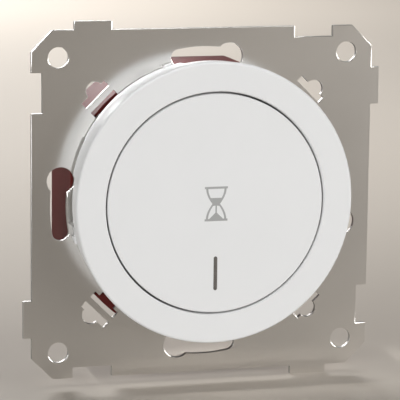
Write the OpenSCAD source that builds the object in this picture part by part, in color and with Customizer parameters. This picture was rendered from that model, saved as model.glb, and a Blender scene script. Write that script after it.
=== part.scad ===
// Timer light switch insert for a round wall box. A square steel mounting plate carries a
// white push button in a cover ring in front and a brown housing with the relay timer behind.
// Origin: centre of the plate's back face, on the wall. +X right, +Z up, the room is at -Y.

/* [Mounting plate] */
// Side of the square steel plate
plate_side = 70.9; // [66:0.1:80]
// Thickness of the plate
plate_t = 1; // [0.8:0.1:1.6]
// Leg of the cut corners
corner_cut = 4.3; // [2:0.1:6]
// Width of the ganging tabs
tab_w = 7.65; // [5:0.05:9]
// How far a tab stands out of its edge
tab_h = 1.7; // [1:0.1:3]
// Distance of tabs and notches from the middle of their edge
tab_offset = 22.95; // [20:0.05:25]
// Side play of a neighbour's tab in a notch
tab_play = 0.24; // [0.1:0.02:0.5]
// Room beyond a neighbour's tab at the bottom of a notch
notch_spare = 0.5; // [0.2:0.1:1]
// Distance between box screws, and between corner holes
box_pitch = 60; // [56:0.5:64]
// Diameter of the corner holes
corner_hole_d = 4.2; // [3.2:0.1:5]
// Diameter of the keyhole heads
key_head_d = 5.6; // [5:0.1:6.4]
// Width of the keyhole slots
key_slot_w = 3.4; // [2.8:0.1:4]
// Half of the angle that a keyhole lets the plate turn
key_turn = 10; // [6:0.5:12]
// Radius to the middle of the bridges that claws hook on
bridge_r = 30.4; // [30:0.1:31]
// Width of a claw bridge
bridge_w = 1.2; // [1:0.1:1.8]
// Width of the slots on both sides of a bridge
claw_slot_w = 1.5; // [1.2:0.1:2]
// Length of the claw slots
claw_slot_l = 6.55; // [5:0.05:8]
// Diameter of the screwdriver bulge outside a bridge
claw_bulge_d = 3.7; // [3:0.1:4.4]
// Sideways shift of the bulge
claw_bulge_shift = 0.5; // [0:0.1:1]
// Width of the claw's leg opening inside a bridge
claw_leg_w = 4.1; // [3:0.1:5]

/* [Button and ring] */
// Height of the button's axis above the plate's centre
face_rise = 1.3; // [0:0.1:2]
// Front of the button and ring above the plate's front
face_depth = 10; // [8.5:0.1:12]
// Diameter of the push button
button_d = 44.3; // [40:0.1:48]
// Thickness of the button's face
button_t = 2; // [1.6:0.1:2.6]
// Wall of the button's skirt
button_wall = 1.3; // [1:0.1:2]
// Travel of the button
button_travel = 1.2; // [0.8:0.1:1.6]
// Gap between button and ring
button_gap = 0.35; // [0.2:0.05:0.6]
// Rounding of the edges beside the gap
gap_edge_r = 0.25; // [0.1:0.05:0.5]
// Width of the ring's front band
ring_band = 6; // [5:0.05:8]
// Thickness of the ring's front
ring_t = 2; // [1.6:0.1:2.6]
// How much narrower the ring's foot is than its front, on the radius
ring_draft = 0.8; // [0:0.05:1]
// Rounding of the ring's outer front edge
ring_edge_r = 0.5; // [0.3:0.1:1.5]
// Wall of the ring's skirt at its foot
ring_wall = 1.3; // [1:0.1:1.6]
// Gap between the ring's foot and the plate
foot_gap = 0.4; // [0.2:0.05:0.8]
// Width of the cut-outs in the ring's wall over the keyholes
relief_w = 10.4; // [8:0.2:13]
// Height of those cut-outs above the ring's foot
relief_h = 3.6; // [2:0.1:4]
// Height of the lifting gap beside each cut-out, above the ring's foot
lift_h = 0.85; // [0.4:0.05:1.5]
// Angle from the middle of a cut-out to the end of its lifting gap
lift_turn = 27; // [20:1:32]
// How far the lugs stand out of the ring's foot
lug_out = 0.5; // [0.2:0.05:0.8]
// Width of the light bar in the button
light_w = 0.72; // [0.5:0.02:1.5]
// Length of the light bar
light_l = 6.9; // [5:0.1:9]
// Distance of the light bar's middle below the button's axis
light_drop = 14.15; // [12:0.05:15]
// Wire diameter of the return spring
spring_wire = 0.5; // [0.4:0.05:0.7]
// Turns of the return spring
spring_turns = 5; // [4:1:6]

/* [Carrier] */
// Thickness of the carrier's deck
deck_t = 2.2; // [2:0.1:3]
// Front of the deck above the plate's front
deck_rise = 1.5; // [1.2:0.1:2.5]
// Play of the carrier's rim in the ring
rim_gap = 0.25; // [0.15:0.05:0.4]
// Wall of the carrier's neck
neck_wall = 1.4; // [1:0.1:2]
// Running play of everything that slides
slide_play = 0.1; // [0.05:0.01:0.15]
// Radius of the button's guide pins
pin_r = 1.5; // [1.2:0.1:2]
// Radius of the circle of guide pins
pin_circle_r = 15; // [13:0.5:16]
// Diameter of the carrier screws
screw_d = 2.2; // [2:0.1:3]
// Diameter of their heads
screw_head_d = 4; // [3.6:0.1:5]

/* [Housing] */
// Wall of the housing
housing_wall = 1.7; // [1.2:0.1:2.2]
// Floor of the housing
floor_t = 1.8; // [1.4:0.1:2.4]
// How far the flats are cut into the round housing
flat_cut = 1.6; // [1:0.1:2.5]
// Radius of the screw bosses
boss_r = 2.6; // [2.2:0.1:3]
// Leg of the bevel round the housing's back
back_edge = 1; // [0.4:0.1:1.4]

/* [Timer board] */
// Thickness of the circuit board
board_t = 1.6; // [1:0.1:2]
// Length of the relay
relay_l = 28.6; // [26:0.2:31]
// Width of the relay
relay_w = 10.2; // [9:0.2:11]
// Height of the relay
relay_h = 12.4; // [12:0.1:14]
// Length of the film capacitor
film_l = 13; // [10:0.5:14]
// Height of the film capacitor
film_h = 11; // [8:0.5:12]
// Radius of the smoothing capacitor
can_r = 4; // [3:0.25:4.5]
// Height of the smoothing capacitor
can_h = 11; // [8:0.5:12]

/* [Terminals] */
// Distance between terminals
terminal_pitch = 8.4; // [7.6:0.1:9]
// Height of a terminal block
terminal_h = 10; // [9:0.1:10.5]
// Radius of a wire entry
wire_r = 1.45; // [1.2:0.05:1.8]
// Length of a wire entry's straight wall
wire_l = 7; // [5:0.1:8]
// Width of a release tab
tab_push_w = 3; // [2.4:0.1:3.6]
// Travel of a release tab
tab_push = 1; // [0.6:0.1:1.2]

/* [Hidden] */
$fn = 96;

// Colours of the pieces
white = [0.89, 0.89, 0.88];
steel = [0.56, 0.53, 0.49];
brown = [0.36, 0.18, 0.16];
lamp_grey = [0.4, 0.38, 0.36];
spring_steel = [0.7, 0.7, 0.72];
board_green = [0.1, 0.32, 0.2];
black = [0.07, 0.07, 0.08];
brass = [0.78, 0.62, 0.3];
copper = [0.72, 0.4, 0.22];
pale_grey = [0.75, 0.75, 0.73];

// Overrun of a cut past the face that it opens
past = 1;

// Levels in front of the wall, measured towards the room
plate_front = plate_t;
face_front = plate_front + face_depth;
face_back = face_front - button_t;
ring_back = face_front - ring_t;
ring_foot = plate_front + foot_gap;
deck_front = plate_front + deck_rise;
deck_back = deck_front - deck_t;
// The skirt and the ring's collar keep clear of the deck when the button is pressed home
skirt_clear = 0.7;
bush_clear = 0.9;
plunger_out = 1.5;
skirt_foot = deck_front + button_travel + skirt_clear;
bush_front = face_back - button_travel - bush_clear;
plunger_front = deck_front + plunger_out;

// Key switch on the board: its height follows the travel, and the board hangs below it
switch_wall = 0.5;
plunger_hold = 1;
switch_clear = 0.3;
switch_h = button_travel + plunger_hold + switch_clear + switch_wall;
switch_side = 6;
switch_front = deck_back - switch_clear;
plunger_r = 1.7;
board_front = switch_front - switch_h;
board_back = board_front - board_t;

// The tallest part on the board sets the housing's depth
floor_gap = 0.8;
floor_front = board_back - max(relay_h, film_h, can_h) - floor_gap;
housing_back = floor_front - floor_t;

// Radii, from the button outwards
plate_half = plate_side / 2;
button_r = button_d / 2;
ring_in_r = button_r + button_gap;
ring_r = ring_in_r + ring_band;
ring_foot_r = ring_r - ring_draft;
skirt_in_r = ring_foot_r - ring_wall;
collar_wall = 1.4;
rim_r = skirt_in_r - rim_gap;
rim_wall = 1.5;
rim_in_r = rim_r - rim_wall;
clip_out = 0.5;
clip_h = 0.8;
clip_play = 0.2;
clip_level = (deck_front + 2 * ring_back) / 3;
clip_span = 24;
lug_turn = 16.5;
lug_w = 1.6;
lug_h = 1.2;
// The plate's window leaves a seat under the whole of the raised rim
rim_seat = 0.6;
neck_fit = 0.2;
boss_inset = 0.2;
boss_clear = 0.3;
board_lap = 0.7;
board_room = 1.6;
window_r = (rim_r + rim_in_r) / 2 - face_rise - rim_seat;
neck_r = window_r - neck_fit;
screw_circle_r = neck_r - boss_r - boss_inset;
board_r = neck_r + board_lap;
housing_flat_r = board_r + board_room + housing_wall;
housing_r = housing_flat_r + flat_cut;

// Keyholes and claw slots. A slot's round end is a touch wider than its straight walls, which it crosses
key_r = box_pitch / 2;
key_cross = 0.04;
key_end_d = key_slot_w + key_cross;
bridge_out = bridge_r + bridge_w / 2;
bridge_in = bridge_r - bridge_w / 2;
bulge_inset = 0.15;

// Carrier and button guides
bush_r = 2.6;
bush_wall = 1.2;
post_r = bush_r - slide_play;
pin_boss_wall = 1.4;
pin_boss_h = 2;
pin_inset = 0.5;
pin_end = deck_back + pin_inset;
hook_x = 12;
hook_w = 4;
hook_t = 1.2;
hook_out = 0.8;
hook_h = 1;
hook_play = 0.3;
hook_clear = 0.1;
screw_head_t = 1.2;
screw_l = 9;
pilot_play = 0.05;

// Light bar, guide and lamp
lamp_y = face_rise - light_drop;
light_fit = 0.03;
light_foot_w = 2.6;
light_foot_t = 1;
light_clear = 0.2;
light_end = plunger_front + light_clear;
lamp_r = 1.5;
lamp_flange_r = 1.9;
lamp_flange_t = 1;
lamp_front = deck_front - lamp_r;
lamp_play = 0.4;

// Return spring round the bush, between deck and button
spring_clear = 0.8;
spring_r = bush_r + bush_wall + spring_clear;
spring_rings = 8;
spring_sides = 6;
spring_low = deck_front + spring_wire / 2;
spring_high = face_back - spring_wire / 2;
spring_pitch = (spring_high - spring_low) / spring_turns;
echo(return_spring_least_gap = spring_pitch - spring_wire);

// Time setter on the board, above the key switch
setter_up = 12;
setter_y = face_rise + setter_up;
setter_side = 6.4;
setter_h = 2.6;
setter_r = 2;
setter_seat = 1;
setter_slot_w = 0.7;
setter_out = 0.2;

// Parts on the back of the board
relay_clear = 0.2;
relay_y = screw_circle_r - boss_r - relay_clear - relay_w / 2;
relay_wall = 0.7;
relay_play = 0.1;
relay_base_t = 1.5;
relay_floor = board_back - relay_base_t;
coil_x = -2.5;
coil_l = 12;
coil_clear = 1.3;
flange_t = 0.8;
flange_w = 7.2;
coil_level = relay_floor - flange_w / 2 - coil_clear;
bobbin_wall = 0.7;
core_r = 1.5;
winding_r = 3.2;
yoke_t = 0.9;
yoke_w = 6.6;
yoke_level = coil_level - flange_w / 2 - yoke_t;
yoke_reach = 1.6;
yoke_rise = 1;
yoke_end = coil_x + coil_l / 2 + yoke_reach;
armature_gap = 0.15;
armature_x = yoke_end + armature_gap;
armature_t = 0.9;
core_gap = 0.55;
blade_t = 0.25;
blade_w = 4;
blade_clear = 0.8;
blade_top = relay_floor - blade_clear;
blade_x = armature_x + armature_t;
contact_r = 1;
contact_t = 0.5;
contact_drop = 1.1;
contact_level = blade_top - contact_drop;
contact_travel = 0.8;
armature_clear = 0.3;
armature_top = contact_level - contact_r - armature_clear;
post_t = 0.6;
film_w = 6;
film_x = -11;
can_x = 1.5;
varistor_r = 3.8;
varistor_t = 3.2;
varistor_x = 10.5;
varistor_y = -3.2;
rectifier_x = 11.5;
rectifier_y = 3.2;
rectifier_size = [9, 4.6, 6];
fuse_r = 1.3;
fuse_l = 8;
fuse_y = 5.4;

// Terminals in the lower half of the housing's back
terminal_clear = 0.4;
terminal_gap = 0.2;
terminal_fit = 0.15;
terminal_y = -(screw_circle_r - boss_r - terminal_clear) + terminal_h / 2;
terminal_w = terminal_pitch - terminal_gap;
terminal_count = 4;
terminal_wall = 0.8;
wire_funnel = 0.6;
cavity_level = housing_back + wire_l + wire_funnel;
cavity_bottom = terminal_y - terminal_h / 2 + terminal_wall;
cavity_top = terminal_y + terminal_h / 2 - terminal_wall;
bar_t = 0.5;
bar_w = 5;
bar_clear = 0.1;
bar_inset = 0.5;
wire_y = cavity_bottom + bar_t + bar_clear + wire_r;
push_t = 2.6;
push_inset = 0.5;
push_spare = 0.2;
push_y = cavity_top - push_inset - push_t / 2;
push_out = tab_push + push_spare;
push_shoulder = 0.6;
push_shoulder_h = 0.8;
clamp_t = 0.35;
clamp_w = 4;
clamp_bend_r = 0.9;
clamp_head = 1.6;
clamp_reach = 2.6;
clamp_foot = 2;
clamp_tip_gap = 0.6;
nose_clear = 0.75;
clamp_bend_level = board_back - clamp_head;
clamp_tip_level = clamp_bend_level - clamp_reach;

function terminal_x(i) = (i - (terminal_count + 1) / 2) * terminal_pitch;

// Sketches lie on the wall: x right, y up, and z towards the room
module toward_room() {
    rotate([90, 0, 0]) children();
}

module on_face_axis() {
    translate([0, face_rise, 0]) children();
}

module quarter_turns() {
    for (turn = [0:3]) rotate(90 * turn) children();
}

// Turns a sketch so that its z runs along +x, its x along +y and its y along z
module along_x() {
    rotate([90, 0, 90]) children();
}

// Straight wall between two levels
module between(low, high) {
    translate([0, 0, low]) linear_extrude(high - low) children();
}

module annulus(outer_r, inner_r) {
    difference() {
        circle(outer_r);
        circle(inner_r);
    }
}

// Sector that opens by half_angle to either side of +Y
module sector(half_angle, reach) {
    far = 2 * reach;
    polygon([[0, 0], far * [sin(half_angle), cos(half_angle)], far * [-sin(half_angle), cos(half_angle)]]);
}

module plate_outline() {
    notch_w = tab_w + 2 * tab_play;
    notch_depth = tab_h + notch_spare;
    difference() {
        union() {
            intersection() {
                square(plate_side, center = true);
                rotate(45) square(sqrt(2) * (plate_side - corner_cut), center = true);
            }
            quarter_turns()
                translate([-tab_offset - tab_w / 2, plate_half - past]) square([tab_w, tab_h + past]);
        }
        quarter_turns()
            translate([tab_offset - notch_w / 2, plate_half - notch_depth])
                square([notch_w, notch_depth + past]);
    }
}

// Curved slot with a round head at its clockwise end, for a screw that is already in the box
module keyhole() {
    intersection() {
        annulus(key_r + key_slot_w / 2, key_r - key_slot_w / 2);
        sector(key_turn, key_r);
    }
    rotate(key_turn) translate([0, key_r]) circle(d = key_end_d);
    rotate(-key_turn) translate([0, key_r]) circle(d = key_head_d);
}

// Two slots with a bridge between them that a spreading claw hooks on, open to the window
module claw_opening() {
    translate([-claw_slot_l / 2, bridge_out]) square([claw_slot_l, claw_slot_w]);
    intersection() {
        translate([claw_bulge_shift, bridge_out + claw_slot_w - bulge_inset]) circle(d = claw_bulge_d);
        translate([-claw_slot_l / 2, bridge_out]) square([claw_slot_l, claw_slot_w + claw_bulge_d]);
    }
    translate([-claw_slot_l / 2, bridge_in - claw_slot_w]) square([claw_slot_l, claw_slot_w]);
    translate([-claw_leg_w / 2, 0]) square([claw_leg_w, bridge_in - claw_slot_w / 2]);
}

module mounting_plate() {
    color(steel) toward_room() linear_extrude(plate_t) difference() {
        plate_outline();
        circle(window_r);
        quarter_turns() {
            translate([box_pitch / 2, box_pitch / 2]) circle(d = corner_hole_d);
            keyhole();
            rotate(45) claw_opening();
        }
    }
}

module round_with_flats(round_r, flat_r) {
    intersection() {
        circle(round_r);
        square(2 * flat_r, center = true);
    }
}

// Places of the four screws that clamp the plate between housing and carrier
module at_screws() {
    quarter_turns() translate([0, screw_circle_r]) children();
}

// Window in the housing's floor that the terminal blocks fill
module terminal_window() {
    window_w = (terminal_count - 1) * terminal_pitch + terminal_w + 2 * terminal_fit;
    translate([-window_w / 2, terminal_y - terminal_h / 2 - terminal_fit])
        square([window_w, terminal_h + 2 * terminal_fit]);
}

// Bevel of the back edge, as a sketch of the radius and the level
module back_edge_cut(reach) {
    polygon([
        [reach - back_edge - past, housing_back - past],
        [reach + past, housing_back - past],
        [reach + past, housing_back + back_edge + past]
    ]);
}

module housing() {
    rib_w = 2;
    rib_seat = 1.5;
    rib_angle = 60;
    color(brown) toward_room() difference() {
        union() {
            between(housing_back, floor_front) round_with_flats(housing_r, housing_flat_r);
            between(floor_front - floor_t / 2, 0) difference() {
                round_with_flats(housing_r, housing_flat_r);
                round_with_flats(housing_r - housing_wall, housing_flat_r - housing_wall);
            }
            between(floor_front - floor_t / 2, deck_back) at_screws() circle(boss_r);
            for (side = [0, 180], lean = [-rib_angle, rib_angle])
                between(floor_front - floor_t / 2, board_back) intersection() {
                    rotate(side + lean)
                        translate([-rib_w / 2, board_r - rib_seat]) square([rib_w, housing_r]);
                    round_with_flats(housing_r - housing_wall / 2, housing_flat_r - housing_wall / 2);
                }
        }
        rotate_extrude() back_edge_cut(housing_r);
        quarter_turns() translate([-housing_r, 0, 0]) along_x()
            linear_extrude(2 * housing_r) back_edge_cut(housing_flat_r);
        between(housing_back - past, floor_front + past) terminal_window();
        between(deck_front - screw_l - screw_head_t, deck_back + past)
            at_screws() circle(screw_d / 2 + pilot_play);
    }
}

module hook_window() {
    square([hook_t + 2 * hook_play + hook_out, hook_w + 2 * hook_play], center = true);
}

module at_pins() {
    quarter_turns() rotate(45) translate([0, pin_circle_r]) children();
}

module front_carrier() {
    color(pale_grey) toward_room() difference() {
        union() {
            on_face_axis() {
                between(plate_front, deck_front) circle(rim_r);
                between(plate_front, ring_back) annulus(rim_r, rim_in_r);
                between(deck_back, bush_front) circle(bush_r + bush_wall);
                between(deck_back, deck_front + pin_boss_h) at_pins() circle(pin_r + pin_boss_wall);
                between(clip_level - clip_h / 2, clip_level + clip_h / 2) quarter_turns() rotate(45)
                    intersection() {
                        annulus(rim_r + clip_out, rim_in_r);
                        sector(clip_span / 2, rim_r);
                    }
            }
            between(deck_back, plate_front) circle(neck_r);
            between(board_front, plate_front) difference() {
                annulus(neck_r, neck_r - neck_wall);
                at_screws() circle(boss_r + boss_clear);
            }
        }
        on_face_axis() {
            between(deck_back - past, bush_front + past) circle(bush_r);
            between(deck_back - past, deck_front + pin_boss_h + past)
                at_pins() circle(pin_r + slide_play);
            for (side = [0, 180]) rotate(side)
                between(deck_back - past, deck_front + past)
                    translate([hook_x + hook_out / 2, 0]) hook_window();
        }
        between(deck_back - past, deck_front + past) {
            translate([0, lamp_y]) circle(lamp_r + lamp_play);
            translate([0, setter_y]) circle(setter_r + lamp_play);
            at_screws() circle(screw_d / 2 + slide_play);
        }
        between(deck_front - screw_head_t, deck_front + past)
            at_screws() circle(screw_head_d / 2 + slide_play);
    }
}

// Countersunk cross-slot screws from the front of the deck into the housing's bosses
module carrier_screws() {
    slot_w = 0.6;
    slot_t = 0.6;
    color(spring_steel) toward_room() at_screws() difference() {
        union() {
            between(deck_front - screw_head_t, deck_front) circle(d = screw_head_d);
            between(deck_front - screw_l, deck_front - screw_head_t / 2) circle(d = screw_d);
        }
        between(deck_front - slot_t, deck_front + past) {
            square([screw_head_d * 0.7, slot_w], center = true);
            square([slot_w, screw_head_d * 0.7], center = true);
        }
    }
}

// Cuts a rounded corner of radius r at the origin, from material at -x and -y
module corner_round(r) {
    difference() {
        translate([-r, -r]) square(r + past);
        translate([-r, -r]) circle(r);
    }
}

module ring_section() {
    difference() {
        polygon([
            [skirt_in_r, ring_foot], [ring_foot_r, ring_foot],
            [ring_r, face_front - ring_edge_r], [ring_r, face_front],
            [ring_in_r, face_front], [ring_in_r, skirt_foot],
            [ring_in_r + collar_wall, skirt_foot], [ring_in_r + collar_wall, ring_back],
            [skirt_in_r, ring_back]
        ]);
        translate([ring_r, face_front]) corner_round(ring_edge_r);
        translate([ring_in_r, face_front]) mirror([1, 0]) corner_round(gap_edge_r);
        translate([skirt_in_r - past, clip_level - clip_h / 2 - clip_play])
            square([past + clip_out - rim_gap + clip_play, clip_h + 2 * clip_play]);
    }
}

// The ring's wall is open over the keyholes, with a gap to lift the ring beside each opening and a lug that
// keeps the ring from turning
module cover_ring() {
    color(white) toward_room() on_face_axis() difference() {
        union() {
            rotate_extrude() ring_section();
            between(ring_foot, ring_foot + lug_h) quarter_turns() rotate(lug_turn)
                translate([-lug_w / 2, ring_foot_r - ring_wall / 2]) square([lug_w, ring_wall / 2 + lug_out]);
        }
        between(ring_foot - past, ring_foot + relief_h) quarter_turns() intersection() {
            annulus(ring_r + past, skirt_in_r - past);
            translate([-relief_w / 2, 0]) square([relief_w, ring_r + past]);
        }
        between(ring_foot - past, ring_foot + lift_h) quarter_turns() intersection() {
            annulus(ring_r + past, skirt_in_r - past);
            rotate(-lift_turn / 2) sector(lift_turn / 2, ring_r);
        }
    }
}

module button_section() {
    difference() {
        union() {
            translate([0, face_back]) square([button_r, button_t]);
            translate([button_r - button_wall, skirt_foot])
                square([button_wall, face_back - skirt_foot + past]);
        }
        translate([button_r, face_front]) corner_round(gap_edge_r);
    }
}

// Straight bar with round ends along y
module bar_outline(width, length) {
    run = (length - width) / 2;
    square([width, 2 * run], center = true);
    for (end = [-run, run]) translate([0, end]) circle(d = width);
}

// Snap leg with its hook under the carrier's deck
module snap_leg() {
    hook_front = deck_back - hook_clear;
    translate([hook_x - hook_t / 2, -hook_w / 2, hook_front - hook_h])
        cube([hook_t, hook_w, face_back - hook_front + hook_h + past]);
    translate([hook_x - hook_t / 2, -hook_w / 2, hook_front - hook_h])
        cube([hook_t + hook_out, hook_w, hook_h]);
}

module push_button() {
    color(white) toward_room() on_face_axis() difference() {
        union() {
            rotate_extrude() button_section();
            between(plunger_front, face_back + past) circle(post_r);
            between(pin_end, face_back + past) at_pins() circle(pin_r);
            for (side = [0, 180]) rotate(side) snap_leg();
        }
        between(face_back - past, face_front + past)
            translate([0, -light_drop]) bar_outline(light_w + 2 * light_fit, light_l + 2 * light_fit);
    }
}

// Smoked bar in the button's face, with a foot behind the face and a stem towards the lamp
module light_guide() {
    foot_l = light_l + light_foot_w;
    color(lamp_grey) toward_room() translate([0, lamp_y, 0]) {
        between(face_back - light_foot_t / 2, face_front) bar_outline(light_w, light_l);
        between(face_back - light_foot_t, face_back) bar_outline(light_foot_w, foot_l);
        between(light_end, face_back - light_foot_t / 2) circle(light_foot_w / 2);
    }
}

function spring_point(ring, side) =
    let (
        turn = 360 * ring / spring_rings,
        lean = 360 * side / spring_sides,
        reach = spring_r + spring_wire / 2 * cos(lean)
    )
    [
        reach * cos(turn), reach * sin(turn),
        spring_low + spring_pitch * ring / spring_rings + spring_wire / 2 * sin(lean)
    ];

module return_spring() {
    last = spring_turns * spring_rings;
    points = [for (ring = [0:last], side = [0:spring_sides - 1]) spring_point(ring, side)];
    walls = [
        for (ring = [0:last - 1], side = [0:spring_sides - 1])
        let (
            here = ring * spring_sides,
            next = here + spring_sides,
            beside = (side + 1) % spring_sides
        )
        each [
            [here + side, here + beside, next + beside],
            [here + side, next + beside, next + side]
        ]
    ];
    top = last * spring_sides;
    low_cap = [for (side = [1:spring_sides - 2]) [0, side + 1, side]];
    high_cap = [for (side = [1:spring_sides - 2]) [top, top + side, top + side + 1]];
    color(spring_steel) toward_room() on_face_axis()
        polyhedron(points, concat(walls, low_cap, high_cap));
}

module circuit_board() {
    color(board_green) toward_room() between(board_back, board_front) difference() {
        circle(board_r);
        at_screws() circle(boss_r + boss_clear);
    }
}

module switch_body() {
    color(black) toward_room() on_face_axis() difference() {
        between(board_front, switch_front) square(switch_side, center = true);
        between(board_front + switch_wall, switch_front + past) circle(plunger_r + slide_play);
    }
}

module switch_plunger() {
    color(brown) toward_room() on_face_axis()
        between(switch_front - plunger_hold, plunger_front) circle(plunger_r);
}

module indicator_lamp() {
    color("orange") toward_room() translate([0, lamp_y, 0]) {
        between(board_front, board_front + lamp_flange_t) circle(lamp_flange_r);
        between(board_front + lamp_flange_t / 2, lamp_front) circle(lamp_r);
        translate([0, 0, lamp_front]) sphere(lamp_r);
    }
}

module time_setter_body() {
    color("steelblue") toward_room() translate([0, setter_y, 0]) difference() {
        between(board_front, board_front + setter_h) square(setter_side, center = true);
        between(board_front + setter_seat, board_front + setter_h + past) circle(setter_r + slide_play);
    }
}

// Slotted dial that sets how long the light stays on
module time_setter_rotor() {
    dial_front = board_front + setter_h + setter_out;
    color(white) toward_room() translate([0, setter_y, 0]) difference() {
        between(board_front + setter_seat, dial_front) circle(setter_r);
        between(dial_front - setter_slot_w, dial_front + past) {
            square([setter_slot_w, 2 * setter_r * 0.8], center = true);
            translate([0, setter_r * 0.4]) square([2 * setter_slot_w, setter_slot_w], center = true);
        }
    }
}

module controller_chip() {
    chip = [6, 4, 1.4];
    leg = [0.4, 1, 0.3];
    leg_pitch = 1.27;
    chip_x = -8;
    color(black) toward_room() translate([chip_x, lamp_y / 2, board_front]) {
        translate([-chip.x / 2, -chip.y / 2, 0]) cube(chip);
        for (leg_at = [-1.5:1.5], side = [-1, 1])
            translate([leg_at * leg_pitch - leg.x / 2, side * (chip.y + leg.y) / 2 - leg.y / 2, 0])
                cube(leg);
    }
}

module chip_resistors() {
    size = [2, 1.2, 0.5];
    first = [5, lamp_y / 2 - 1];
    step = [3, 2];
    color(black) toward_room() for (row = [0:1], column = [0:2])
        translate([first.x + step.x * column, first.y + step.y * row, board_front]) cube(size);
}

// Relay: base, case, coil, iron circuit and contacts, on the back of the board
module relay_base() {
    color(black) toward_room() translate([0, relay_y, 0]) between(relay_floor, board_back)
        square([relay_l, relay_w] - 2 * (relay_wall + relay_play) * [1, 1], center = true);
}

module relay_case() {
    foot_gap_case = 0.2;
    color("royalblue") toward_room() translate([0, relay_y, 0]) difference() {
        between(board_back - relay_h, board_back - foot_gap_case) square([relay_l, relay_w], center = true);
        between(board_back - relay_h + relay_wall, board_back + past)
            square([relay_l, relay_w] - 2 * relay_wall * [1, 1], center = true);
    }
}

module relay_bobbin() {
    tube_r = core_r + bobbin_wall;
    color(white) toward_room() translate([coil_x, relay_y, coil_level]) along_x() difference() {
        union() {
            translate([0, 0, -coil_l / 2]) cylinder(r = tube_r, h = coil_l);
            for (end = [-coil_l / 2, coil_l / 2 - flange_t])
                translate([-flange_w / 2, -flange_w / 2, end])
                    cube([flange_w, relay_floor - coil_level + flange_w / 2, flange_t]);
        }
        translate([0, 0, -coil_l / 2 - past]) cylinder(r = core_r + relay_play, h = coil_l + 2 * past);
    }
}

module relay_winding() {
    winding_l = coil_l - 2 * flange_t;
    color(copper) toward_room() translate([coil_x, relay_y, coil_level]) along_x() difference() {
        translate([0, 0, -winding_l / 2]) cylinder(r = winding_r, h = winding_l);
        translate([0, 0, -winding_l / 2 - past])
            cylinder(r = core_r + bobbin_wall + relay_play / 2, h = winding_l + 2 * past);
    }
}

module relay_yoke() {
    back_x = coil_x - coil_l / 2 - yoke_t;
    core_end = armature_x - core_gap;
    color(spring_steel) toward_room() translate([0, relay_y, 0]) {
        translate([back_x, -yoke_w / 2, yoke_level])
            cube([yoke_t, yoke_w, coil_level - yoke_level + core_r + yoke_rise]);
        translate([back_x, -yoke_w / 2, yoke_level]) cube([yoke_end - back_x, yoke_w, yoke_t]);
        translate([back_x + yoke_t / 2, 0, coil_level])
            along_x() cylinder(r = core_r, h = core_end - back_x - yoke_t / 2);
    }
}

// Hinged iron plate: it tips towards the core about the end of the yoke
module relay_armature() {
    color(steel) toward_room() translate([armature_x, relay_y - yoke_w / 2, yoke_level])
        cube([armature_t, yoke_w, armature_top - yoke_level]);
}

module relay_blade() {
    color(brass) toward_room() translate([blade_x, relay_y, 0]) {
        translate([0, -blade_w / 2, coil_level]) cube([blade_t, blade_w, blade_top - coil_level]);
        translate([-contact_t, 0, contact_level])
            along_x() cylinder(r = contact_r, h = 2 * contact_t + blade_t);
    }
}

// Contact rivets on posts: the blade rests on the outer one and is pulled over to the inner one
module relay_contacts() {
    rest_gap = 0.05;
    inner_face = blade_x - contact_t - contact_travel;
    outer_face = blade_x + blade_t + contact_t + rest_gap;
    color(brass) toward_room() translate([0, relay_y, 0]) {
        translate([inner_face - contact_t - post_t, -blade_w / 2, contact_level - contact_r])
            cube([post_t, blade_w, relay_floor - contact_level + contact_r]);
        translate([inner_face - contact_t - post_t / 2, 0, contact_level])
            along_x() cylinder(r = contact_r, h = contact_t + post_t / 2);
        translate([outer_face + contact_t, -blade_w / 2, contact_level - contact_r])
            cube([post_t, blade_w, relay_floor - contact_level + contact_r]);
        translate([outer_face, 0, contact_level])
            along_x() cylinder(r = contact_r, h = contact_t + post_t / 2);
    }
}

module film_capacitor() {
    color("goldenrod") toward_room()
        translate([film_x - film_l / 2, -film_w / 2, board_back - film_h]) cube([film_l, film_w, film_h]);
}

module smoothing_capacitor() {
    bead = 0.4;
    bead_level = 1.5;
    color(black) toward_room() translate([can_x, 0, board_back - can_h]) rotate_extrude() difference() {
        square([can_r, can_h]);
        translate([can_r, can_h - bead_level]) circle(bead);
    }
}

module surge_varistor() {
    color("steelblue") toward_room()
        translate([varistor_x, varistor_y + varistor_t / 2, board_back - varistor_r])
            rotate([90, 0, 0]) cylinder(r = varistor_r, h = varistor_t);
}

module bridge_rectifier() {
    color(black) toward_room()
        translate([rectifier_x, rectifier_y, board_back - rectifier_size.z / 2])
            cube(rectifier_size, center = true);
}

module fuse_link() {
    color(pale_grey) toward_room()
        translate([film_x - fuse_l / 2, fuse_y, board_back - fuse_r])
            along_x() cylinder(r = fuse_r, h = fuse_l);
}

// Terminals: a plastic block with a round wire entry and a slot for its release tab
module terminal_block(i) {
    color(pale_grey) toward_room() translate([terminal_x(i), 0, 0]) difference() {
        between(housing_back, board_back)
            translate([-terminal_w / 2, terminal_y - terminal_h / 2]) square([terminal_w, terminal_h]);
        between(cavity_level, board_back + past)
            translate([-terminal_w / 2 + terminal_wall, cavity_bottom])
                square([terminal_w - 2 * terminal_wall, cavity_top - cavity_bottom]);
        between(housing_back - past, cavity_level + past) translate([0, wire_y]) circle(wire_r);
        translate([0, wire_y, housing_back])
            cylinder(r1 = wire_r + wire_funnel, r2 = wire_r, h = wire_funnel);
        between(housing_back - past, cavity_level + past) translate([0, push_y])
            square([tab_push_w, push_t] + 2 * slide_play * [1, 1], center = true);
    }
}

// Pushed in with a screwdriver to let a wire go
module release_tab(i) {
    nose_level = clamp_bend_level - nose_clear;
    color("orange") toward_room() translate([terminal_x(i), push_y, 0]) {
        between(housing_back - push_out, nose_level) square([tab_push_w, push_t], center = true);
        between(cavity_level + slide_play, cavity_level + slide_play + push_shoulder_h)
            square([tab_push_w + 2 * push_shoulder, push_t], center = true);
    }
}

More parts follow.
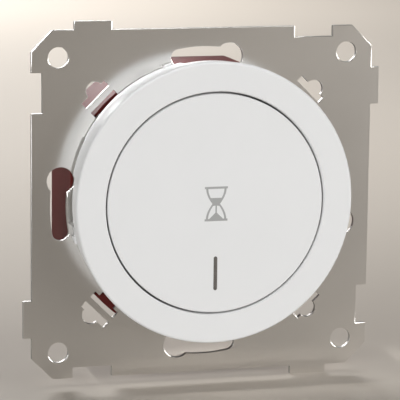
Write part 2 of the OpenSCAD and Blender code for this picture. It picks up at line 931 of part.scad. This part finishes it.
// Straight leaf between two points of the (y, z) sketch
module leaf(from, to, thickness) {
    run = to - from;
    translate(from) rotate(atan2(run.y, run.x))
        translate([0, -thickness / 2]) square([norm(run), thickness]);
}

// Leaf spring: one leg on the cavity's wall, the other slants down across the wire's path
module clamp_spring(i) {
    back_leg_y = cavity_top - clamp_t / 2;
    bend_y = back_leg_y - clamp_bend_r;
    tip = [cavity_bottom + bar_t + clamp_tip_gap, clamp_tip_level];
    shoulder = [bend_y, clamp_bend_level + clamp_bend_r];
    color(spring_steel) toward_room() translate([terminal_x(i) - clamp_w / 2, 0, 0]) along_x()
        linear_extrude(clamp_w) {
            leaf([back_leg_y, cavity_level + clamp_foot], [back_leg_y, clamp_bend_level], clamp_t);
            intersection() {
                translate([bend_y, clamp_bend_level])
                    annulus(clamp_bend_r + clamp_t / 2, clamp_bend_r - clamp_t / 2);
                translate([bend_y, clamp_bend_level]) square(2 * clamp_bend_r);
            }
            leaf(shoulder, tip, clamp_t);
        }
}

// Brass bars that take the current from the wires to the board
module contact_bars() {
    color(brass) toward_room() for (i = [1:terminal_count])
        translate([terminal_x(i) - bar_w / 2, cavity_bottom, cavity_level + bar_inset])
            cube([bar_w, bar_t, board_back - cavity_level - bar_inset]);
}

mounting_plate();
housing();
front_carrier();
carrier_screws();
cover_ring();
push_button();
light_guide();
return_spring();
circuit_board();
switch_body();
switch_plunger();
indicator_lamp();
time_setter_body();
time_setter_rotor();
controller_chip();
chip_resistors();
relay_base();
relay_case();
relay_bobbin();
relay_winding();
relay_yoke();
relay_armature();
relay_blade();
relay_contacts();
film_capacitor();
smoothing_capacitor();
surge_varistor();
bridge_rectifier();
fuse_link();
contact_bars();
terminal_block(1);  // terminal_block_1
terminal_block(2);  // terminal_block_2
terminal_block(3);  // terminal_block_3
terminal_block(4);  // terminal_block_4
release_tab(1);  // release_tab_1
release_tab(2);  // release_tab_2
release_tab(3);  // release_tab_3
release_tab(4);  // release_tab_4
clamp_spring(1);  // clamp_spring_1
clamp_spring(2);  // clamp_spring_2
clamp_spring(3);  // clamp_spring_3
clamp_spring(4);  // clamp_spring_4
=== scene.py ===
import math

import bmesh
import bpy
from mathutils import Matrix, Vector


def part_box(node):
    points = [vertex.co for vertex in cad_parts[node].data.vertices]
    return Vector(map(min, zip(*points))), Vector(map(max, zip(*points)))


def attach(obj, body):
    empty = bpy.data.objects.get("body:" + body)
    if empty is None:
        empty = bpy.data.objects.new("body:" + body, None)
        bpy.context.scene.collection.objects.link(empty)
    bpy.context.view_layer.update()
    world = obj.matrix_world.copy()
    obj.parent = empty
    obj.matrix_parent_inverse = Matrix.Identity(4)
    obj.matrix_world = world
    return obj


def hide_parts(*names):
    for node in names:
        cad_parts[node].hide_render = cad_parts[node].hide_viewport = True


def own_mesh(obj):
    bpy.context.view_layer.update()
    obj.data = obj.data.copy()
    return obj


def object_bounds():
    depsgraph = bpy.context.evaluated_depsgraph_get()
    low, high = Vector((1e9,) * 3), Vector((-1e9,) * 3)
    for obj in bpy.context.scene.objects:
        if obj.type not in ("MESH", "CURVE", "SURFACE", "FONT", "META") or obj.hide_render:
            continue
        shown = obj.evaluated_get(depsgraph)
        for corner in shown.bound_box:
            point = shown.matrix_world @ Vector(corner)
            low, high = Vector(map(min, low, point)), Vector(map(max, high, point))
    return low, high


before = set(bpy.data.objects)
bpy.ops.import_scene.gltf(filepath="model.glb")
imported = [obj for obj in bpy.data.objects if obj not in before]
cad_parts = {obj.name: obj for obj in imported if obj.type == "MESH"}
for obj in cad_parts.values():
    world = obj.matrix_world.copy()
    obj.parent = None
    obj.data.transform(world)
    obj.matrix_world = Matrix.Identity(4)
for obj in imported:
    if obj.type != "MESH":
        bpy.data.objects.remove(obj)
cad_box = [list(corner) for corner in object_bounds()]


# Viewpoint: a long lens to the left of the switch and a little above it, half a metre away, with the
# square plate filling the picture.
def put(name, data):
    """Object in the scene, at the origin."""
    made = bpy.data.objects.new(name, data)
    bpy.context.scene.collection.objects.link(made)
    return made


mm = 0.001
eye = Vector((-126.22, -460.97, 87.21)) * mm
aim = Vector((-0.63, -1.0, 0.32)) * mm
eye_roll = math.radians(0.64)
lens = bpy.data.cameras.new("long_lens")
lens.sensor_width = 36
lens.lens = 214.7
lens.clip_start = 0.01
lens.clip_end = 20
camera = put("viewpoint", lens)
gaze = (aim - eye).to_track_quat("-Z", "Y").to_matrix().to_4x4()
camera.matrix_world = Matrix.Translation(eye) @ gaze @ Matrix.Rotation(eye_roll, 4, "Z")
bpy.context.scene.camera = camera


# Mounting plate: 1 mm zinc-plated steel sheet, stamped in one stroke. The rolling of the sheet leaves
# fine lines that run sideways. The punch rounds the edges a little and tears through the rest, so the
# walls of the holes are rougher and darker than the faces.
def add_node(tree, kind, inputs=None, **settings):
    """Node whose inputs are set to values or joined to the sockets of other nodes."""
    made = tree.nodes.new(kind)
    for name, value in settings.items():
        setattr(made, name, value)
    for name, value in (inputs or {}).items():
        if isinstance(value, bpy.types.NodeSocket):
            tree.links.new(value, made.inputs[name])
        else:
            made.inputs[name].default_value = value
    return made


def new_effect(name, inputs, outputs):
    """Empty node group that several finishes share, with its input and output nodes."""
    effect = bpy.data.node_groups.new(name, "ShaderNodeTree")
    for label, value in inputs.items():
        socket = effect.interface.new_socket(label, in_out="INPUT", socket_type="NodeSocketFloat")
        socket.default_value = value
    for label in outputs:
        effect.interface.new_socket(label, in_out="OUTPUT", socket_type="NodeSocketFloat")
    return effect, effect.nodes.new("NodeGroupInput"), effect.nodes.new("NodeGroupOutput")


def new_finish(name, **constants):
    """Material with one shader, and the constants set on the shader's own sockets."""
    finish = bpy.data.materials.new(name)
    finish.use_nodes = True
    shader = finish.node_tree.nodes["Principled BSDF"]
    for label, value in constants.items():
        shader.inputs[label.replace("_", " ")].default_value = value
    return finish, finish.node_tree, shader


def tones(tree, factor, low, high, start=0.3, end=0.7):
    """Colour that runs from low to high while factor runs from start to end."""
    ramp = add_node(tree, "ShaderNodeValToRGB", {"Fac": factor})
    for stop, place, colour in zip(ramp.color_ramp.elements, (start, end), (low, high)):
        stop.position = place
        stop.color = (*colour, 1)
    return ramp.outputs["Color"]


def levels(tree, factor, low, high, start=0.3, end=0.7):
    """Value that runs from low to high while factor runs from start to end."""
    limits = {"Value": factor, "From Min": start, "From Max": end, "To Min": low, "To Max": high}
    return add_node(tree, "ShaderNodeMapRange", limits).outputs["Result"]


def press_in(tree, shader, height, depth, strength):
    """Joins a bump of the given depth in metres to the shader."""
    bump = add_node(tree, "ShaderNodeBump", {"Height": height, "Distance": depth, "Strength": strength})
    tree.links.new(bump.outputs["Normal"], shader.inputs["Normal"])


rolled_sheet, inside, outside = new_effect(
    "rolled_sheet", {"Lines per metre": 9000, "Clouds per metre": 60}, ("Lines", "Clouds"))
position = add_node(rolled_sheet, "ShaderNodeTexCoord").outputs["Object"]
drawn_out = add_node(rolled_sheet, "ShaderNodeMapping", {"Vector": position, "Scale": (0.02, 1, 1)})
lines = add_node(rolled_sheet, "ShaderNodeTexNoise", {
    "Vector": drawn_out.outputs["Vector"], "Scale": inside.outputs["Lines per metre"], "Detail": 2})
clouds = add_node(rolled_sheet, "ShaderNodeTexNoise", {
    "Vector": position, "Scale": inside.outputs["Clouds per metre"], "Detail": 4, "Roughness": 0.6})
rolled_sheet.links.new(lines.outputs["Fac"], outside.inputs["Lines"])
rolled_sheet.links.new(clouds.outputs["Fac"], outside.inputs["Clouds"])


def metal(name, dull, bright, smooth, rough, lines_per_metre=9000, clouds_per_metre=60, scratch=0.05):
    """Rolled or drawn metal: clouds between two tones, fine lines, and rounded edges painted lighter,
    as rubbed wear and as a painted highlight.
    """
    line_depth = 0.002 * mm
    finish, tree, shader = new_finish(name, Metallic=1.0)
    sheet = add_node(tree, "ShaderNodeGroup", node_tree=rolled_sheet)
    sheet.inputs["Lines per metre"].default_value = lines_per_metre
    sheet.inputs["Clouds per metre"].default_value = clouds_per_metre
    # Rounded edges marked by soften are painted lighter: partly rubbed wear, partly a painted edge
    # highlight.
    worn_edge_highlight = add_node(tree, "ShaderNodeAttribute", attribute_name="worn_edge_highlight").outputs["Fac"]
    clouds_and_edge_highlight = add_node(tree, "ShaderNodeMath", {0: sheet.outputs["Clouds"], 1: worn_edge_highlight}, operation="ADD")
    colour = tones(tree, clouds_and_edge_highlight.outputs["Value"], dull, bright)
    tree.links.new(colour, shader.inputs["Base Color"])
    tree.links.new(levels(tree, sheet.outputs["Lines"], smooth, rough), shader.inputs["Roughness"])
    press_in(tree, shader, sheet.outputs["Lines"], line_depth, scratch)
    return finish


def finished_mesh(piece):
    """Plain mesh of a piece, as its live modifiers or its curve make it."""
    bpy.context.view_layer.update()
    shown = piece.evaluated_get(bpy.context.evaluated_depsgraph_get())
    return bpy.data.meshes.new_from_object(shown)


def paint(mesh, finish):
    """Gives a mesh its one finish."""
    mesh.materials.clear()
    mesh.materials.append(finish)


def soften(node, body, radius, finish):
    """Stands for a CAD node: its solid with sharp edges rounded, and the rounding marked so that a
    metal finish paints it lighter, as rubbed wear and as a painted highlight.
    """
    flat, rounded = 0, 1
    solid = bmesh.new()
    solid.from_mesh(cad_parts[node].data)
    bmesh.ops.remove_doubles(solid, verts=solid.verts, dist=0.001 * mm)
    bmesh.ops.dissolve_limit(solid, angle_limit=math.radians(0.2), verts=solid.verts, edges=solid.edges)
    for face in solid.faces:
        face.smooth = True
        face.material_index = flat
    mesh = bpy.data.meshes.new(node + "_soft")
    solid.to_mesh(mesh)
    solid.free()
    for kind in (flat, rounded):
        mesh.materials.append(finish)
    piece = put(node + "_soft", mesh)
    rounding = piece.modifiers.new("rounding", "BEVEL")
    rounding.width = radius
    rounding.segments = 2
    rounding.limit_method = "ANGLE"
    rounding.angle_limit = math.radians(35)
    rounding.material = rounded
    shape = finished_mesh(piece)
    # Vertices off the flat faces are marked; a metal finish paints them lighter, as rubbed wear and as
    # a painted edge highlight.
    flat_corners = {v for face in shape.polygons if face.material_index == flat for v in face.vertices}
    worn_edge_highlight = shape.attributes.new("worn_edge_highlight", "FLOAT", "POINT")
    worn_edge_highlight.data.foreach_set("value", [float(v not in flat_corners) for v in range(len(shape.vertices))])
    shape.set_sharp_from_angle(angle=math.radians(20))
    kinds_beside = {}
    for face in shape.polygons:
        for ends in face.edge_keys:
            kinds_beside.setdefault(ends, set()).add(face.material_index)
    for edge in shape.edges:
        if len(kinds_beside[edge.key]) > 1:
            edge.use_edge_sharp = True
    shape.polygons.foreach_set("material_index", [flat] * len(shape.polygons))
    paint(shape, finish)
    piece.modifiers.clear()
    piece.data = shape
    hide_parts(node)
    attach(piece, body)
    return piece


zinc = metal("zinc_plated_steel", (0.864, 0.848, 0.826), (0.918, 0.902, 0.88), 0.17, 0.21,
             lines_per_metre=12000, clouds_per_metre=45, scratch=0.006)
wall_tone, wall_roughness = (0.5, 0.49, 0.48), 0.3
wall_ends, face_starts = 0.3, 0.6
tree = zinc.node_tree
shader = tree.nodes["Principled BSDF"]
direction = add_node(tree, "ShaderNodeTexCoord").outputs["Normal"]
facing = add_node(tree, "ShaderNodeSeparateXYZ", {"Vector": direction}).outputs["Y"]
flatness = add_node(tree, "ShaderNodeMath", {0: facing}, operation="ABSOLUTE").outputs["Value"]
plated = shader.inputs["Base Color"].links[0].from_socket
bare = tones(tree, flatness, wall_tone, (1, 1, 1), wall_ends, face_starts)
torn = add_node(
    tree, "ShaderNodeMix", {0: 1.0, 6: plated, 7: bare}, data_type="RGBA", blend_type="MULTIPLY")
tree.links.new(torn.outputs[2], shader.inputs["Base Color"])
rolled = shader.inputs["Roughness"].links[0].from_socket
ragged = levels(tree, flatness, wall_roughness, 0.0, wall_ends, face_starts)
coarse = add_node(tree, "ShaderNodeMath", {0: rolled, 1: ragged}, operation="ADD")
tree.links.new(coarse.outputs["Value"], shader.inputs["Roughness"])
plate = soften("mounting_plate", "base", 0.06 * mm, zinc)


# Housing: a deep cup of red-brown moulded plastic behind the plate, round with four flats, that goes
# into the wall box. Its skin is dull, with the faint grain of a worn mould.
def screen(red, green, blue):
    """Colour as a screen shows it, from 0 to 255, turned into the light that a surface sends back."""
    shares = [value / 255 for value in (red, green, blue)]
    return tuple(s / 12.92 if s <= 0.04045 else ((s + 0.055) / 1.055) ** 2.4 for s in shares)


moulded_skin, inside, outside = new_effect(
    "moulded_skin", {"Grain per metre": 6000, "Flow per metre": 80}, ("Grain", "Flow"))
position = add_node(moulded_skin, "ShaderNodeTexCoord").outputs["Object"]
grain = add_node(moulded_skin, "ShaderNodeTexNoise", {
    "Vector": position, "Scale": inside.outputs["Grain per metre"], "Detail": 3, "Roughness": 0.6})
flow = add_node(moulded_skin, "ShaderNodeTexNoise", {
    "Vector": position, "Scale": inside.outputs["Flow per metre"], "Detail": 2})
moulded_skin.links.new(grain.outputs["Fac"], outside.inputs["Grain"])
moulded_skin.links.new(flow.outputs["Fac"], outside.inputs["Flow"])


def moulded(name, colour, drift=0.03, smooth=0.35, rough=0.45, grain_per_metre=6000, relief=0.15,
            **constants):
    """Moulded plastic: colour that drifts a little with the flow of the melt, over a fine grain."""
    grain_depth = 0.004 * mm
    finish, tree, shader = new_finish(name, **constants)
    skin = add_node(tree, "ShaderNodeGroup", node_tree=moulded_skin)
    skin.inputs["Grain per metre"].default_value = grain_per_metre
    dark = tuple(c * (1 - drift) for c in colour)
    pale = tuple(min(1, c * (1 + drift)) for c in colour)
    tree.links.new(tones(tree, skin.outputs["Flow"], dark, pale), shader.inputs["Base Color"])
    tree.links.new(levels(tree, skin.outputs["Grain"], smooth, rough), shader.inputs["Roughness"])
    press_in(tree, shader, skin.outputs["Grain"], grain_depth, relief)
    return finish


brown_plastic = moulded("red_brown_plastic", screen(90, 36, 34), drift=0.06, smooth=0.5, rough=0.6,
                        Specular_IOR_Level=0.07)
housing = soften("housing", "base", 0.25 * mm, brown_plastic)


# Front carrier: a pale moulded deck with a rim, clipped into the ring. It guides the button, and four
# slotted steel screws draw it and the housing together with the plate between them.
def dress(node, finish):
    """Gives a CAD node its finish."""
    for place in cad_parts[node].material_slots:
        place.material = finish


pale_plastic = moulded("pale_grey_plastic", screen(201, 200, 195), smooth=0.4, rough=0.5)
dress("front_carrier", pale_plastic)
screw_steel = metal("screw_steel", (0.52, 0.52, 0.53), (0.66, 0.66, 0.66), 0.25, 0.4,
                    lines_per_metre=4000)
dress("carrier_screws", screw_steel)


# Cover ring: one white moulding with a soft outer edge, matt from a fine spark-eroded mould. It clips
# over the carrier's rim and stands a little clear of the plate.
white_plastic = moulded("white_plastic", screen(227, 227, 227), drift=0.006, smooth=0.5, rough=0.58,
                        grain_per_metre=5000, relief=0.1, Specular_IOR_Level=0.3)
dress("cover_ring", white_plastic)


# Push button: a white cup of the same plastic, level with the ring. An hourglass is printed on it in
# grey ink, about a hundredth of a millimetre thick. The print's sizes are in millimetres.
dress("push_button", white_plastic)
face_y = -11 * mm
face_rise = 1.3 * mm
ink_half = 0.004
bar_half, bar_top, bar_low = 2.37, 3.48, 3.04
neck_half, glass_half, glass_bulge, line_w = 0.78, 2.1, 1.8, 0.43
sand_top, neck_low, shoulder = 1.2, 0.34, 0.1
stream_half, pile_top, pile_half = 0.15, 1.8, 1.45


def glass(height):
    """Half width of the hourglass's outline at a height above or below its neck."""
    spread = 1 - max(0, 1 - abs(height) / bar_low) ** glass_bulge
    return neck_half + (glass_half - neck_half) * spread


def steps(start, end, count=9):
    """Evenly spaced heights from start to end."""
    return [start + (end - start) * i / (count - 1) for i in range(count)]


def mirrored(outline):
    """The same outline on the other side of the neck, drawn backwards."""
    return [(-x, y) for x, y in reversed(outline)]


right_side = [(bar_half, bar_top), (bar_half, bar_low)]
right_side += [(glass(h), h) for h in steps(bar_low, -bar_low, 25)]
right_side += [(bar_half, -bar_low), (bar_half, -bar_top)]
empty_top = [(glass(h) - line_w, h) for h in steps(bar_low, sand_top)]
empty_low = [(stream_half, -pile_top), (stream_half, -neck_low)]
empty_low += [(glass(h) - line_w, h) for h in steps(-neck_low - shoulder, -bar_low)]
empty_low += [(pile_half, -bar_low)]
ink_sketch = bpy.data.curves.new("hourglass", "CURVE")
ink_sketch.dimensions = "2D"
ink_sketch.fill_mode = "BOTH"
ink_sketch.extrude = ink_half
for outline in (right_side + mirrored(right_side), empty_top + mirrored(empty_top),
                empty_low, mirrored(empty_low)):
    line = ink_sketch.splines.new("POLY")
    line.points.add(len(outline) - 1)
    for point, (x, y) in zip(line.points, outline):
        point.co = (x, y, 0, 1)
    line.use_cyclic_u = True
ink, tree, shader = new_finish("grey_ink", IOR=1.48)
film = add_node(tree, "ShaderNodeGroup", node_tree=moulded_skin)
film.inputs["Grain per metre"].default_value = 9000
tree.links.new(tones(tree, film.outputs["Grain"], screen(158, 158, 157), screen(167, 167, 166)),
               shader.inputs["Base Color"])
tree.links.new(levels(tree, film.outputs["Flow"], 0.4, 0.5), shader.inputs["Roughness"])
sketch = put("hourglass_sketch", ink_sketch)
ink_mesh = finished_mesh(sketch)
bpy.data.objects.remove(sketch)
toward_room = Matrix.Rotation(math.radians(90), 4, "X")
ink_mesh.transform(Matrix.Translation((0, face_y, face_rise)) @ toward_room @ Matrix.Scale(mm, 4))
paint(ink_mesh, ink)
hourglass = put("hourglass_print", ink_mesh)
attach(hourglass, "button")


# Light guide: a smoked clear bar, flush in the button's face, that the lamp on the board lights from
# behind when the time runs.
smoked, tree, shader = new_finish("smoked_clear_plastic", IOR=1.58, Coat_Weight=0.3, Coat_Roughness=0.1)
haze = add_node(tree, "ShaderNodeGroup", node_tree=moulded_skin)
haze.inputs["Flow per metre"].default_value = 900
tree.links.new(tones(tree, haze.outputs["Flow"], screen(96, 92, 88), screen(110, 105, 101)),
               shader.inputs["Base Color"])
tree.links.new(levels(tree, haze.outputs["Grain"], 0.18, 0.26), shader.inputs["Roughness"])
dress("light_guide", smoked)


# Return spring: five turns of hard-drawn wire round the carrier's bush, between deck and button. It
# gives way as the button goes in.
def sweep_spiral(name, radius, height, turns, wire, finish, place, wire_sides=10, steps_per_turn=32):
    """Wire wound into a spiral along its own z axis, then set in place, as a plain mesh."""
    tree = bpy.data.node_groups.new(name, "GeometryNodeTree")
    sizes = {"Radius": radius, "Height": height, "Turns": turns, "Wire": wire / 2}
    for label in sizes:
        tree.interface.new_socket(label, in_out="INPUT", socket_type="NodeSocketFloat")
    tree.interface.new_socket("Geometry", in_out="OUTPUT", socket_type="NodeSocketGeometry")
    given = tree.nodes.new("NodeGroupInput").outputs
    path = add_node(tree, "GeometryNodeCurveSpiral", {
        "Resolution": steps_per_turn, "Rotations": given["Turns"], "Start Radius": given["Radius"],
        "End Radius": given["Radius"], "Height": given["Height"]})
    section = add_node(tree, "GeometryNodeCurvePrimitiveCircle", {
        "Resolution": wire_sides, "Radius": given["Wire"]})
    tube = add_node(tree, "GeometryNodeCurveToMesh", {
        "Curve": path.outputs["Curve"], "Profile Curve": section.outputs["Curve"], "Fill Caps": True})
    smooth = add_node(tree, "GeometryNodeSetShadeSmooth", {"Geometry": tube.outputs["Mesh"]})
    real = add_node(tree, "GeometryNodeRealizeInstances", {"Geometry": smooth.outputs["Geometry"]})
    finished = add_node(tree, "GeometryNodeSetMaterial", {
        "Geometry": real.outputs["Geometry"], "Material": finish})
    add_node(tree, "NodeGroupOutput", {"Geometry": finished.outputs["Geometry"]})
    piece = put(name, bpy.data.meshes.new(name))
    winding = piece.modifiers.new("winding", "NODES")
    winding.node_group = tree
    for item in tree.interface.items_tree:
        if item.item_type == "SOCKET" and item.in_out == "INPUT":
            winding[item.identifier] = sizes[item.name]
    wound = finished_mesh(piece)
    paint(wound, finish)
    wound.transform(place)
    piece.modifiers.clear()
    piece.data = wound
    return piece


spring_steel = metal("spring_steel", (0.56, 0.56, 0.57), (0.70, 0.70, 0.71), 0.22, 0.34,
                     lines_per_metre=5000)
spring_r, spring_wire, spring_turns = 4.6 * mm, 0.5 * mm, 5.0
spring_foot, spring_head = -2.5 * mm, -9 * mm
spring_h = abs(spring_head - spring_foot) - spring_wire
return_spring = sweep_spiral(
    "return_spring_wire", spring_r, spring_h, spring_turns, spring_wire, spring_steel,
    Matrix.Translation((0, spring_foot - spring_wire / 2, face_rise)) @ toward_room)
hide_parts("return_spring")
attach(return_spring, "base")
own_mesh(return_spring)


# Timer board: green glass-fibre laminate with the key switch, the lamp and the time setter in front.
# The chip and its resistors lie flat on it, and the wired parts behind are soldered through it.
laminate, tree, shader = new_finish("green_laminate", Coat_Weight=0.4, Coat_Roughness=0.2)
position = add_node(tree, "ShaderNodeTexCoord").outputs["Object"]
weave = add_node(tree, "ShaderNodeTexChecker", {"Vector": position, "Scale": 1400.0})
cloud = add_node(tree, "ShaderNodeTexNoise", {"Vector": position, "Scale": 120.0, "Detail": 3})
fibres = add_node(tree, "ShaderNodeMath", {0: weave.outputs["Fac"], 1: 0.25}, operation="MULTIPLY")
resin = add_node(
    tree, "ShaderNodeMath", {0: fibres.outputs["Value"], 1: cloud.outputs["Fac"]}, operation="ADD")
tree.links.new(tones(tree, resin.outputs["Value"], screen(28, 84, 54), screen(44, 112, 74)),
               shader.inputs["Base Color"])
tree.links.new(levels(tree, cloud.outputs["Fac"], 0.35, 0.5), shader.inputs["Roughness"])
dress("circuit_board", laminate)
black_plastic = moulded("black_plastic", (0.022, 0.022, 0.024), drift=0.1, smooth=0.35, rough=0.5)
for node in ("switch_body", "controller_chip", "chip_resistors"):
    dress(node, black_plastic)
dress("switch_plunger", brown_plastic)
amber = moulded("amber_lens", screen(214, 132, 40), smooth=0.12, rough=0.2,
                IOR=1.55, Transmission_Weight=0.35)
dress("indicator_lamp", amber)
blue_plastic = moulded("blue_plastic", screen(46, 96, 158), drift=0.05, smooth=0.3, rough=0.42)
dress("time_setter_body", blue_plastic)
dress("time_setter_rotor", white_plastic)


# Relay: a blue case over a copper coil on a white bobbin, an iron yoke with a hinged armature, and a
# brass blade that the armature carries between two contact rivets.
soften("relay_case", "base", 0.3 * mm, blue_plastic)
dress("relay_base", black_plastic)
dress("relay_bobbin", white_plastic)
soft_iron = metal("soft_iron", (0.42, 0.42, 0.43), (0.54, 0.54, 0.54), 0.3, 0.45, lines_per_metre=5000)
dress("relay_yoke", soft_iron)
dress("relay_armature", soft_iron)
brass = metal("contact_brass", (0.66, 0.50, 0.22), (0.80, 0.63, 0.30), 0.22, 0.35, lines_per_metre=7000)
dress("relay_blade", brass)
dress("relay_contacts", brass)
copper = metal("enamelled_copper", (0.62, 0.27, 0.12), (0.78, 0.38, 0.18), 0.2, 0.3,
               clouds_per_metre=400)
coil_low, coil_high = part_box("relay_winding")
coil_mid = (coil_low + coil_high) / 2
coil_r = (coil_high.z - coil_low.z) / 2
coil_wire = 0.2 * mm
coil_l = coil_high.x - coil_low.x - coil_wire
along_x = Matrix.Rotation(math.radians(90), 4, "Y")
coil = sweep_spiral(
    "relay_coil_turns", coil_r - coil_wire / 2, coil_l, round(coil_l / coil_wire), coil_wire, copper,
    Matrix.Translation((coil_low.x + coil_wire / 2, coil_mid.y, coil_mid.z)) @ along_x,
    wire_sides=6, steps_per_turn=24)
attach(coil, "base")
dress("relay_winding", copper)


# Supply of the timer: a yellow film capacitor, a sleeved electrolytic can, a blue surge disc, a black
# rectifier block and a glass fuse, all on the back of the board.
yellow_plastic = moulded("yellow_plastic", screen(214, 166, 58), drift=0.05, smooth=0.28, rough=0.38)
soften("film_capacitor", "base", 0.4 * mm, yellow_plastic)
soften("bridge_rectifier", "base", 0.3 * mm, black_plastic)
dress("smoothing_capacitor", black_plastic)
dress("surge_varistor", blue_plastic)
dress("fuse_link", pale_plastic)


# Terminals: four pale blocks in the housing's back, each with a funnel for the wire, an orange tab that
# frees it, a leaf spring that bites it and a brass bar that takes the current. Their numbers stand
# proud of the housing, with pale ink rolled over them.
orange_plastic = moulded("orange_plastic", screen(212, 104, 40), drift=0.05, smooth=0.32, rough=0.42)
dress("contact_bars", brass)
pale_ink = moulded("pale_ink", screen(206, 203, 196), smooth=0.5, rough=0.6)
number_h, number_relief = 2.2 * mm, 0.15 * mm
housing_back = 19.6 * mm
number_rise = -5.6 * mm
toward_box = Matrix(((-1, 0, 0, 0), (0, 0, 1, 0), (0, 1, 0, 0), (0, 0, 0, 1)))
numbers = bmesh.new()
for i in range(1, 5):
    soften(f"terminal_block_{i}", "base", 0.15 * mm, pale_plastic)
    soften(f"release_tab_{i}", f"tab_{i}", 0.2 * mm, orange_plastic)
    clamp = soften(f"clamp_spring_{i}", "base", 0.06 * mm, spring_steel)
    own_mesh(clamp)
    block_low, block_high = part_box(f"terminal_block_{i}")
    block_mid = (block_low.x + block_high.x) / 2
    figure = bpy.data.curves.new("figure", "FONT")
    figure.body = str(i)
    figure.size = number_h
    figure.align_x = "CENTER"
    figure.extrude = number_relief
    holder = put("figure", figure)
    shape = finished_mesh(holder)
    bpy.data.objects.remove(holder)
    shape.transform(Matrix.Translation((block_mid, housing_back, number_rise)) @ toward_box)
    numbers.from_mesh(shape)
bmesh.ops.remove_doubles(numbers, verts=numbers.verts, dist=0.001 * mm)
number_mesh = bpy.data.meshes.new("terminal_numbers")
numbers.to_mesh(number_mesh)
numbers.free()
paint(number_mesh, pale_ink)
terminal_numbers = put("terminal_numbers", number_mesh)
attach(terminal_numbers, "base")


# Stage: a pale matt floor in a dim grey room. Two wide soft lamps stand in front, to the left and to
# the right, a third stands behind, and a fourth lights the floor there. Two spots with flattened beams
# hang over the ring's wall and over the housing.
floor_half = 4.0
floor_z = cad_box[0][2]
floor_mesh = bpy.data.meshes.new("floor")
floor_mesh.from_pydata([(-floor_half, -floor_half, floor_z), (floor_half, -floor_half, floor_z),
                        (floor_half, floor_half, floor_z), (-floor_half, floor_half, floor_z)],
                       [], [(0, 1, 2, 3)])
floor_paint, tree, shader = new_finish("pale_floor", Roughness=0.8)
position = add_node(tree, "ShaderNodeTexCoord").outputs["Object"]
mottle = add_node(tree, "ShaderNodeTexNoise", {"Vector": position, "Scale": 6.0, "Detail": 4})
tree.links.new(tones(tree, mottle.outputs["Fac"], (0.575, 0.515, 0.446), (0.589, 0.529, 0.460)),
               shader.inputs["Base Color"])
paint(floor_mesh, floor_paint)
floor = put("floor", floor_mesh)


def hang(name, glow, place, target):
    """Lamp hung at its place and turned to its target."""
    lamp = put(name, glow)
    turn = (Vector(target) - Vector(place)).to_track_quat("-Z", "Y").to_matrix().to_4x4()
    lamp.matrix_world = Matrix.Translation(place) @ turn
    lamp.visible_camera = False
    return lamp


def soft_lamp(name, place, target, width, depth, watts, spread=180, tint=(1, 1, 1)):
    """Rectangular lamp with a cloth front."""
    glow = bpy.data.lights.new(name, "AREA")
    glow.shape = "RECTANGLE"
    glow.size = width
    glow.size_y = depth
    glow.energy = watts
    glow.spread = math.radians(spread)
    glow.color = tint
    hang(name, glow, place, target)


def flat_spot(name, place, target, watts, flatness):
    """Spot with a soft edge, whose beam is flattened from front to back."""
    glow = bpy.data.lights.new(name, "SPOT")
    glow.spot_size = math.radians(11.5)
    glow.spot_blend = 0.7
    glow.shadow_soft_size = 0.012
    glow.energy = watts
    lamp = hang(name, glow, place, target)
    lamp.scale.x = flatness


soft_lamp("front_lamp", (-1.36, -1.33, 0.33), (0, 0, 0), 1.2, 0.7, 22.2, tint=(0.97, 0.99, 1.0))
soft_lamp("side_lamp", (1.0, -0.9, 0.22), (0, 0, 0), 0.8, 0.5, 12.3)
soft_lamp("back_lamp", (-0.075, 0.97, 0.3), (0, 0, 0.02), 0.55, 0.15, 6.4)
soft_lamp("floor_lamp", (0.16, 0.3, 0.6), (0.12, 0.24, 0), 0.4, 0.4, 0.24, spread=50)
flat_spot("ring_spot", (-0.085, -0.006, 0.28), (-0.008, -0.006, 0.028), 1.65, 0.4)
flat_spot("housing_spot", (-0.085, 0.012, 0.28), (-0.008, 0.009, 0.028), 5.8, 0.35)
low_air, high_air = (0.126, 0.117, 0.108), (0.039, 0.039, 0.039)
room = bpy.data.worlds.new("grey_room")
room.use_nodes = True
sky = room.node_tree
outlook = add_node(sky, "ShaderNodeTexCoord").outputs["Generated"]
height = add_node(sky, "ShaderNodeSeparateXYZ", {"Vector": outlook}).outputs["Z"]
sky.links.new(tones(sky, height, low_air, high_air, 0.0, 0.45), sky.nodes["Background"].inputs["Color"])
bpy.context.scene.world = room
bpy.context.scene.view_settings.view_transform = "Standard"
